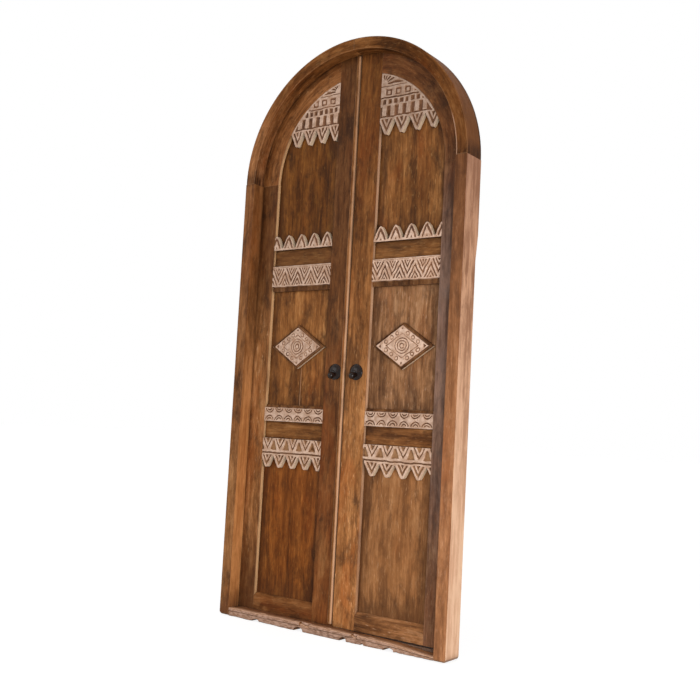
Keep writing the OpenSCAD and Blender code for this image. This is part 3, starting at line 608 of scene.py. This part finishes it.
def sill_wood(name, seed, shade):
    """The sill: scuffed pinkish wood in front, a pale top and front arris, partly rubbed and partly
    painted highlight, and painted shade behind, under the leaves.
    """
    mat, g, bsdf, grain = begin_wood(name, "across", seed)
    place = g.position()
    normal = g.normal()
    scuff = g.noise(g.here(), (60.0, 60.0, 160.0), detail=4.0, rough=0.65)
    front = g.times(g.remap(normal["Y"], -0.3, -0.7), g.remap(scuff, 0.4, 0.6, 0.35, 0.95))
    # Pale front arris and top: partly rubbed wear, partly painted highlight.
    arris = g.times(g.remap(normal["Z"], 0.15, 0.5), g.remap(normal["Y"], -0.15, -0.5))
    arris = g.times(arris, g.remap(scuff, 0.34, 0.55, 0.3, 0.9))
    ahead = g.remap(place["Y"], FRAME_FRONT, FRAME_FRONT + 0.03, 0.9, 0.1)
    top = g.times(g.times(g.remap(normal["Z"], 0.35, 0.8), ahead), g.remap(scuff, 0.3, 0.5, 0.5, 1.0))
    # Painted shade: darker behind the lip, under the leaves, most at the right end.
    rear = g.times(g.remap(place["Y"], STOP_Y - 0.012, STOP_Y - 0.001),
                   g.remap(place["X"], 0.0, 0.42, 0.3, 0.75))
    colour = g.coats(
        stained(g, grain, shade),
        (front, srgb(198, 160, 138)),
        (arris, srgb(222, 188, 162)),
        (top, srgb(208, 166, 136)),
        (rear, srgb(80, 60, 48)))
    finish_wood(g, bsdf, colour, grain, grime_and_shade=0.3)
    return mat


def whitewash(g, depth, white, lip):
    """How much whitewash is left at each place of a carving, and its colour. The walls that face right
    are painted pale cream as lit: painted light; on a lip only those that face down.
    """
    nx, ny, nz = g.normal()
    patch = g.noise(g.here(), (55.0, 55.0, 55.0), detail=4.0, rough=0.6)
    fine = g.noise(g.here(), (420.0, 420.0, 420.0), detail=2.0)
    uneven = g.times(g.minus(patch, 0.5), 0.004)
    face = g.remap(g.plus(depth, uneven), 0.0012, 0.0036, 1.0, 0.0)
    # Painted light: walls that face right, towards the lamp, are painted pale cream.
    wall = g.times(g.remap(nx, 0.2, 0.6), g.remap(g.abs(ny), 0.3, 0.12))
    if lip:
        wall = g.times(wall, g.remap(nz, 0.2, -0.2))
    amount = g.times(g.most(face, wall), g.remap(fine, 0.3, 0.55, 0.7, 0.93))
    cream = g.mix(g.remap(patch, 0.35, 0.65), srgb(188, 152, 128), srgb(220, 188, 166))
    cream = g.tint(cream, (white, white, white, 1.0))
    return amount, g.mix(g.times(wall, 0.85), cream, srgb(246, 220, 186))


def cut_wood(g, grain, depth, lit_floor):
    """Brown wood in the cuts of a carving, darker on the ledge beside it."""
    cut = g.mix(0.45, g.tint(grain["Color"], (0.7, 0.66, 0.68, 1.0)), srgb(108, 80, 67))
    if lit_floor:
        # Painted light: floors of wide cuts paler where ambient occlusion finds them open.
        cut = g.mix(g.remap(g.openness(0.012), 0.5, 0.75, 0.0, lit_floor), cut, srgb(164, 122, 84))
    ledge = g.remap(depth, CARVE_DEPTH + 0.0006, CARVE_DEPTH + 0.0016)
    return g.mix(ledge, cut, g.tint(grain["Color"], (0.55, 0.55, 0.58, 1.0)))


def carved_wood(name, seed, white, lip, lit_floor):
    """Carving with whitewash left on its faces, brown in the cuts, and its right-hand walls painted
    pale cream as lit (painted light).

    white is how bright the whitewash on the faces is. A piece with a lip has only its lower right walls
    painted pale, the upper ones left brown as in shade. lit_floor is how pale the floors of the wide
    cuts are, painted light where ambient occlusion finds them open.
    """
    mat, g, bsdf, grain = begin_wood(name, "up", seed)
    depth = g.minus(g.position()["Y"], LEAF_FACE)
    amount, cream = whitewash(g, depth, white, lip)
    colour = g.mix(amount, cut_wood(g, grain, depth, lit_floor), cream)
    finish_wood(g, bsdf, colour, grain, grime_and_shade=0.25, rub=0.25)
    return mat


def iron(name, seed):
    """Dark forged iron with a little rust."""
    mat, g, bsdf = begin(name + "_iron")
    place = g.vec("ADD", g.here(), (seed, seed * 2, seed * 3))
    patch = g.noise(place, (90.0, 90.0, 90.0), detail=5.0, rough=0.6)
    fine = g.noise(place, (520.0, 520.0, 520.0), detail=3.0)
    colour = g.mix(g.remap(patch, 0.45, 0.7), srgb(22, 13, 10), srgb(48, 29, 21))
    colour = g.mix(g.remap(fine, 0.5, 0.75, 0.0, 0.4), colour, srgb(54, 38, 30))
    g.put(bsdf.inputs["Base Color"], colour)
    bsdf.inputs["Specular IOR Level"].default_value = 0.2
    g.put(bsdf.inputs["Roughness"], g.remap(patch, 0.3, 0.7, 0.1, 0.22))
    g.put(bsdf.inputs["Normal"], g.bump(g.plus(patch, g.times(fine, 0.4)), 0.25, 0.0008))
    return mat


def soften(obj, width):
    """Weld the imported faces and ease their arrises."""
    weld = obj.modifiers.new("weld", "WELD")
    weld.merge_threshold = 0.00002
    flat = obj.modifiers.new("flat", "DECIMATE")
    flat.decimate_type = "DISSOLVE"
    flat.angle_limit = math.radians(0.6)
    ease = obj.modifiers.new("ease", "BEVEL")
    ease.width = width
    ease.segments = 2
    ease.limit_method = "ANGLE"
    ease.angle_limit = math.radians(32.0)
    ease.use_clamp_overlap = True
    even = obj.modifiers.new("even", "WEIGHTED_NORMAL")
    even.keep_sharp = True


def dress(name, material, width=0.0):
    obj = NODES[name]
    obj.data.materials.clear()
    obj.data.materials.append(material)
    if width:
        soften(obj, width)


def add_object(name, data):
    obj = bpy.data.objects.new(name, data)
    bpy.context.scene.collection.objects.link(obj)
    return obj


def smooth_noise(rng, shape, cell):
    """Smooth values from -1 to 1 on a grid, with lumps about cell samples wide."""
    rows, cols = shape[0] // cell + 3, shape[1] // cell + 3
    coarse = rng.uniform(-1.0, 1.0, (rows, cols))
    v = np.arange(shape[0]) / cell
    u = np.arange(shape[1]) / cell
    i, j = v.astype(int), u.astype(int)
    a, b = v - i, u - j
    a, b = (a * a * (3 - 2 * a))[:, None], (b * b * (3 - 2 * b))[None, :]
    top = coarse[np.ix_(i, j)] * (1 - b) + coarse[np.ix_(i, j + 1)] * b
    low = coarse[np.ix_(i + 1, j)] * (1 - b) + coarse[np.ix_(i + 1, j + 1)] * b
    return top * (1 - a) + low * a


def blur(field, passes):
    for _ in range(passes):
        p = np.pad(field, 1, mode="edge")
        field = (p[:-2, 1:-1] + p[2:, 1:-1] + p[1:-1, :-2] + p[1:-1, 2:] + 4 * p[1:-1, 1:-1]) / 8
    return field


def cone_floor(depth, slope, reach):
    """The deepest surface over depth whose walls are no steeper than slope."""
    out = depth.copy()
    rows, cols = depth.shape
    p = np.pad(depth, reach, constant_values=np.inf)
    for di in range(-reach, reach + 1):
        for dj in range(-reach, reach + 1):
            rise = slope * GRID * math.hypot(di, dj)
            out = np.minimum(out, p[reach + di:reach + di + rows, reach + dj:reach + dj + cols] + rise)
    return out


def read_depth(node):
    """Depth of a carved node behind the leaf's face, on a grid; infinite where it has no wood."""
    mesh = NODES[node].data
    tree = BVHTree.FromPolygons([v.co for v in mesh.vertices], [p.vertices for p in mesh.polygons])
    low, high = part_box(node)
    extra = int(2 * MARGIN) + 1
    cols = int((high.x - low.x) / GRID) + extra
    rows = int((high.z - low.z) / GRID) + extra
    xs = low.x - MARGIN * GRID + np.arange(cols) * GRID
    zs = low.z - MARGIN * GRID + np.arange(rows) * GRID
    depth = np.full((rows, cols), np.inf)
    ahead = Vector((0.0, 1.0, 0.0))
    for i in range(rows):
        for j in range(cols):
            hit = tree.ray_cast(Vector((xs[j], low.y - RAY_LEAD, zs[i])), ahead)[0]
            if hit is not None:
                depth[i, j] = hit.y - LEAF_FACE
    return depth, xs, zs, high.y


def wobble(rng, depth):
    """The same cuts, moved a little this way and that as by an unsteady hand."""
    rows, cols = depth.shape
    up = np.rint(WOBBLE * smooth_noise(rng, depth.shape, WOBBLE_CELL)).astype(int)
    sideways = np.rint(WOBBLE * smooth_noise(rng, depth.shape, WOBBLE_CELL)).astype(int)
    i = np.arange(rows)[:, None] + up
    j = np.arange(cols)[None, :] + sideways
    moved = depth[np.clip(i, 0, rows - 1), np.clip(j, 0, cols - 1)]
    return np.where(np.isfinite(moved), moved, depth)


def depth_share(node, zs):
    """Share of the full depth at each height. Some carvings are worn shallow, the tympanum in a row."""
    kind = next((k for k in SHALLOW if node.endswith(k)), None)
    share = np.full(len(zs), SHALLOW.get(kind, 1.0))
    if node.endswith("tympanum_carving"):
        up = (zs - zs[0]) / (zs[-1] - zs[0])
        share[(up > WORN_ROW[0]) & (up < WORN_ROW[1])] = WORN_ROW_SHARE
    return share[:, None]


def hand_cut(rng, depth, share):
    """The depth as cut by hand: sloping cuts of uneven depth, eased arrises and small dents."""
    inside = np.isfinite(depth)
    cut = np.where(inside, np.minimum(wobble(rng, depth), CARVE_DEPTH), np.inf)
    step = np.where(inside, np.maximum(depth - CARVE_DEPTH, 0.0), np.inf)
    cut = np.where(inside, cone_floor(cut, CUT_SLOPE, CUT_REACH), CARVE_DEPTH * 0.25)
    step = np.where(inside, cone_floor(step, STEP_SLOPE, STEP_REACH), 0.0)
    uneven = 1.0 + UNEVEN * smooth_noise(rng, depth.shape, UNEVEN_CELL)
    hollows = HOLLOW * (1.0 + smooth_noise(rng, depth.shape, HOLLOW_CELL))
    dents = DENT * (1.0 + smooth_noise(rng, depth.shape, DENT_CELL))
    return share * blur(cut, 1) * uneven + blur(step, 1) + (hollows + dents)


def outline(inside, xs, zs):
    """Which cells and samples of the grid are used, and the samples' places.

    The border is moved to the half-covered line, so it isn't stepped.
    """
    rows, cols = inside.shape
    cells = inside[:-1, :-1] & inside[1:, :-1] & inside[:-1, 1:] & inside[1:, 1:]
    count = np.zeros((rows, cols), int)
    for di, dj in ((0, 0), (1, 0), (0, 1), (1, 1)):
        count[di:rows - 1 + di, dj:cols - 1 + dj] += cells
    used = count > 0
    cover = blur(inside.astype(float), 4)
    slope_z, slope_x = np.gradient(cover, GRID)
    steep = np.sqrt(np.maximum(slope_x ** 2 + slope_z ** 2, 1.0))
    push = np.where(used & (count < 4), np.clip((cover - 0.5) / steep, -GRID, GRID), 0.0)
    gx, gz = np.meshgrid(xs, zs)
    return cells, used, gx - push * slope_x / steep, gz - push * slope_z / steep


def rim_edges(quads):
    """The edges that only one face has."""
    edges = {}
    for quad in quads:
        for k in range(4):
            a, b = int(quad[k]), int(quad[(k + 1) % 4])
            if (b, a) in edges:
                del edges[(b, a)]
            else:
                edges[(a, b)] = True
    return list(edges)


def close_back(mesh):
    """Fill the open loop at the back."""
    bm = bmesh.new()
    bm.from_mesh(mesh)
    open_edges = [e for e in bm.edges if e.is_boundary]
    bmesh.ops.triangle_fill(bm, use_beauty=True, use_dissolve=False, edges=open_edges)
    bmesh.ops.recalc_face_normals(bm, faces=bm.faces)
    bm.to_mesh(mesh)
    bm.free()


def make_block(name, points, quads, back):
    """A closed mesh: the carved face, walls round its rim and a flat back."""
    edges = rim_edges(quads)
    rim = sorted({v for edge in edges for v in edge})
    behind = {v: len(points) + n for n, v in enumerate(rim)}
    walls = [(b, a, behind[a], behind[b]) for a, b in edges]
    rear = points[rim]
    rear[:, 1] = back
    mesh = bpy.data.meshes.new(name)
    mesh.from_pydata(np.vstack([points, rear]).tolist(), [], quads.tolist() + walls)
    mesh.update()
    close_back(mesh)
    mesh.shade_smooth()
    mesh.set_sharp_from_angle(angle=math.radians(48))
    return mesh


def carve(node, body, seed):
    """A hand-cut copy of a carved node, in place of the node."""
    depth, xs, zs, back = read_depth(node)
    field = hand_cut(np.random.default_rng(seed), depth, depth_share(node, zs))
    front = np.minimum(LEAF_FACE + field, back - LEAST_WOOD)
    cells, used, gx, gz = outline(np.isfinite(depth), xs, zs)
    points = np.stack([gx[used], front[used], gz[used]], 1)
    index = -np.ones(depth.shape, int)
    index[used] = np.arange(len(points))
    i, j = np.nonzero(cells)
    quads = np.stack([index[i, j], index[i, j + 1], index[i + 1, j + 1], index[i + 1, j]], 1)
    mesh = make_block(node + "_face", points, quads, back)
    piece = add_object(node + "_face", mesh)
    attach(piece, body)
    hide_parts(node)
    lip = node.endswith("diamond")
    lit_floor = LAPPET_LIT_FLOOR if node.endswith("lappet_band") else 0.0
    mesh.materials.append(carved_wood(node + "_lime", seed * 0.37, WHITE.get(node, 1.0), lip, lit_floor))


def bite(x, at, wide, deep):
    """Height of a chip with its middle at the given place, over x."""
    return deep * np.clip(1.0 - np.abs(x - at) / wide, 0.0, 1.0) ** 0.3


def sill_lines(x, rough):
    """The worn lines along the sill: heights, and how far back its strip and its face stand.

    rough gives an uneven line, with lumps as many stations long as it is told.
    """
    def along(pairs):
        return np.interp(x / STOP_R, *zip(*pairs))

    top = along(SILL_TOP) - 0.0006 * (1.0 + rough(24)) - 0.0003 * (1.0 + rough(5))
    base = along(SILL_BASE)
    broken = np.clip(sum(bite(x, *chip) for chip in CROWN_CHIPS), 0.0, 1.0)
    crown = top - 0.01 * broken - np.clip(0.004 * rough(9) - 0.002, 0.0, None)
    low = base + np.clip(0.0035 * rough(15) - 0.0015, 0.0, None)
    low = low + np.clip(0.0014 * rough(4) - 0.0005, 0.0, None)
    for at, wide, deep in FOOT_CHIPS:
        low = np.maximum(low, base + bite(x, at * STOP_R, wide, deep))
    groove = np.minimum(base + 0.62 * (top - base) + 0.0008 * rough(30), crown - 0.003)
    low = np.minimum(low, groove - 0.004)
    rear = np.minimum(top, along(SILL_REAR))
    strip = FRAME_FRONT + 0.008 * broken + 0.0005 * (1.0 + rough(8))
    face = FRAME_FRONT + 0.0022 + 0.0007 * rough(12)
    return base, low, groove, crown, top, rear, strip, face


def sill_sections(rng):
    """Stations along the sill and its worn cross-section at each, as arrays of y and z."""
    x = np.linspace(-STOP_R, STOP_R, SILL_STATIONS)

    def rough(cell):
        return smooth_noise(rng, (1, len(x)), cell)[0]

    base, low, groove, crown, top, rear, strip, face = sill_lines(x, rough)
    flat = np.zeros(len(x))
    chip_back = flat + FRAME_FRONT + 0.0145
    hollow = flat + FRAME_FRONT + 0.05
    stop = flat + STOP_Y
    back = flat + FRAME_BACK
    back_top = flat + SILL_BACK_Z
    section = [
        (back, flat), (hollow + 0.0015, base), (hollow, low),
        (face + 0.003, low), (face + 0.0006, low + 0.0016), (face, low + 0.45 * (groove - low)),
        (face, groove - 0.0018), (face + 0.004, groove - 0.0008), (face + 0.004, groove + 0.0005),
        (strip, groove + 0.0015), (strip, crown - 0.0016), (strip + 0.0008, crown - 0.0006),
        (strip + 0.0026, crown), (chip_back, crown), (chip_back + 0.0015, top),
        (stop - 0.011, top), (stop - 0.0005, rear), (stop, back_top), (back, back_top)]
    return x, section


def loft(bm, x, section):
    """Draw a section along the stations x and close both ends."""
    count = len(section)
    y = np.stack([part[0] for part in section], 1)
    z = np.stack([part[1] for part in section], 1)
    points = np.stack([np.repeat(x[:, None], count, 1), y, z], 2)
    rings = [[bm.verts.new(point) for point in ring] for ring in points.tolist()]
    for ring, after in zip(rings, rings[1:]):
        for k in range(count):
            n = (k + 1) % count
            bm.faces.new((ring[k], ring[n], after[n], after[k]))
    bm.faces.new(rings[0])
    bm.faces.new(rings[-1][::-1])


def add_stop_blocks(bm):
    """A plain block behind each stop."""
    across = REBATE_R + STOP_R - 2 * STOP_OVERLAP
    for side in (-1, 1):
        block = bmesh.ops.create_cube(bm, size=1.0)["verts"]
        bmesh.ops.scale(bm, verts=block, vec=(REBATE_R - STOP_R, FRAME_BACK - STOP_Y, SILL_BACK_Z))
        middle = (side * across / 2, (FRAME_BACK + STOP_Y) / 2, SILL_BACK_Z / 2)
        bmesh.ops.translate(bm, verts=block, vec=middle)


def make_sill(shade):
    """The worn sill: a section drawn along the door, with a plain block behind each stop."""
    x, section = sill_sections(np.random.default_rng(SILL_SEED))
    bm = bmesh.new()
    loft(bm, x, section)
    add_stop_blocks(bm)
    bmesh.ops.recalc_face_normals(bm, faces=bm.faces)
    mesh = bpy.data.meshes.new("worn_sill")
    bm.to_mesh(mesh)
    bm.free()
    mesh.shade_smooth()
    mesh.set_sharp_from_angle(angle=math.radians(35))
    mesh.materials.append(sill_wood("sill_wood", 3.7, shade))
    piece = add_object("worn_sill", mesh)
    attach(piece, NODES["sill"]["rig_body"])
    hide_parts("sill")


def outer_wood(name, shade):
    """A hinge stile or an arch rail. The two of a leaf share a seed, so the grain runs on."""
    if name.startswith("left"):
        shared_seed, wear = 5.3, {"foot": 0.75, "span": (0.98, 1.35)}
    else:
        # The right leaf's stile and rail carry a painted sheen low down.
        shared_seed, wear = 8.9, {"foot": 0.3, "veil": 0.65}
    # Pale right faces: partly wear, partly painted light.
    edge = {"low": 0.95, "high": 0.95, "near": 0.25, "worn_colour": WORN_LIT_STILE}
    return wood(name + "_wood", "bend", shared_seed, shade, edge=edge, **wear)


def meeting_wood(name, seed, shade):
    """A meeting stile or the bead, pale on the right: partly wear, partly painted light."""
    if name == "left_meeting_bead":
        edge = {"low": 0.9, "high": 0.42, "near": 1.0, "span": (1.0, 1.4)}
    else:
        low = 0.55 if name.startswith("right") else 0.95
        edge = {"low": low, "high": 0.95, "near": 0.25}
    edge["worn_colour"] = WORN_LIT_MEETING
    return wood(name + "_wood", "up", seed, shade, edge=edge)


def rail_wood(name, seed, shade):
    """A straight rail. The bottom rails aren't rubbed."""
    rub = 0.0 if "bottom" in name else 0.4
    return wood(name + "_wood", "across", seed, shade, rub=rub)


def panel_wood(name, seed, shade):
    """A boarded panel, one of them with an open seam."""
    wear = {"border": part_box(name), "calm": CALM.get(name, 0.0)}
    if name == SEAM_PANEL:
        wear["seam"] = SEAM
    return wood(name + "_wood", "up", seed, shade, grime_and_shade=0.35, **wear)


def dress_node(name, number):
    """Give a node its material, or put a worn copy in its place. number sets its own grain."""
    seed = 1.0 + 0.731 * number
    cut_seed = 11 + number
    shade = TONES.get(name, PLAIN)
    if name.endswith(CARVED):
        carve(name, NODES[name]["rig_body"], cut_seed)
    elif name == "sill":
        make_sill(shade)
    elif "hinge_plate" in name or "screws" in name or "pins" in name:
        dress(name, iron(name, seed))
    elif "pull" in name:
        dress(name, iron(name, seed), PULL_EASE)
    elif "arch_segment" in name:
        dress(name, arch_wood(name, seed, shade), ARCH_EASE)
    elif "jamb" in name:
        dress(name, jamb_wood(name, seed, shade), JAMB_EASE)
    elif name.endswith(("upper_rail", "lower_rail", "bottom_rail")):
        dress(name, rail_wood(name, seed, shade), LEAF_EASE)
    elif name.endswith(("arch_rail", "hinge_stile")):
        dress(name, outer_wood(name, shade), LEAF_EASE)
    elif name.endswith(("meeting_stile", "meeting_bead")):
        dress(name, meeting_wood(name, seed, shade), LEAF_EASE)
    else:
        dress(name, panel_wood(name, seed, shade))


def dress_all():
    for number, name in enumerate(sorted(NODES)):
        dress_node(name, number)


def make_camera():
    data = bpy.data.cameras.new("photo_camera")
    data.sensor_width = 36.0
    data.lens = CAMERA_LENS
    data.clip_end = 100.0
    cam = add_object("photo_camera", data)
    back = CAMERA_RIGHT.cross(CAMERA_UP)
    rows = [(CAMERA_RIGHT[i], CAMERA_UP[i], back[i], CAMERA_PLACE[i]) for i in range(3)]
    cam.matrix_world = Matrix(rows + [(0.0, 0.0, 0.0, 1.0)])
    bpy.context.scene.camera = cam


def seen_directly(g):
    """1 for a ray that shows the background itself, straight or in metal, and 0 for one that lights."""
    path = g.add("LightPath").outputs
    mirrored = g.most(path["Is Glossy Ray"], path["Is Transmission Ray"])
    return g.most(path["Is Camera Ray"], mirrored)


def make_light():
    world = bpy.data.worlds.new("studio")
    bpy.context.scene.world = world
    world.use_nodes = True
    g = Graph(world.node_tree)
    background = world.node_tree.nodes["Background"]
    background.inputs["Color"].default_value = (1.0, 1.0, 1.0, 1.0)
    g.put(background.inputs["Strength"], g.remap(seen_directly(g), 0.0, 1.0, 0.5, 1.0, smooth=False))
    for name, place, aim, size, power in LAMPS:
        data = bpy.data.lights.new(name, "AREA")
        data.size = size
        data.energy = power
        lamp = add_object(name, data)
        lamp.location = place
        lamp.rotation_euler = (Vector(aim) - Vector(place)).to_track_quat("-Z", "Y").to_euler()
        lamp.visible_camera = False


def make_floor():
    mesh = bpy.data.meshes.new("floor")
    far = 30.0
    corners = [(-far, -far, 0), (far, -far, 0), (far, far, 0), (-far, far, 0)]
    mesh.from_pydata(corners, [], [(0, 1, 2, 3)])
    floor = add_object("floor", mesh)
    floor.location.z = -0.0005
    mat, g, bsdf = begin("pale_floor")
    bsdf.inputs["Base Color"].default_value = (0.3, 0.3, 0.3, 1.0)
    bsdf.inputs["Roughness"].default_value = 0.9
    bsdf.inputs["Specular IOR Level"].default_value = 0.1
    bsdf.inputs["Emission Color"].default_value = (1.0, 1.0, 1.0, 1.0)
    g.put(bsdf.inputs["Emission Strength"], g.times(seen_directly(g), 0.84))
    mesh.materials.append(mat)


make_camera()
dress_all()
make_light()
make_floor()

bpy.context.scene.view_settings.view_transform = "Standard"
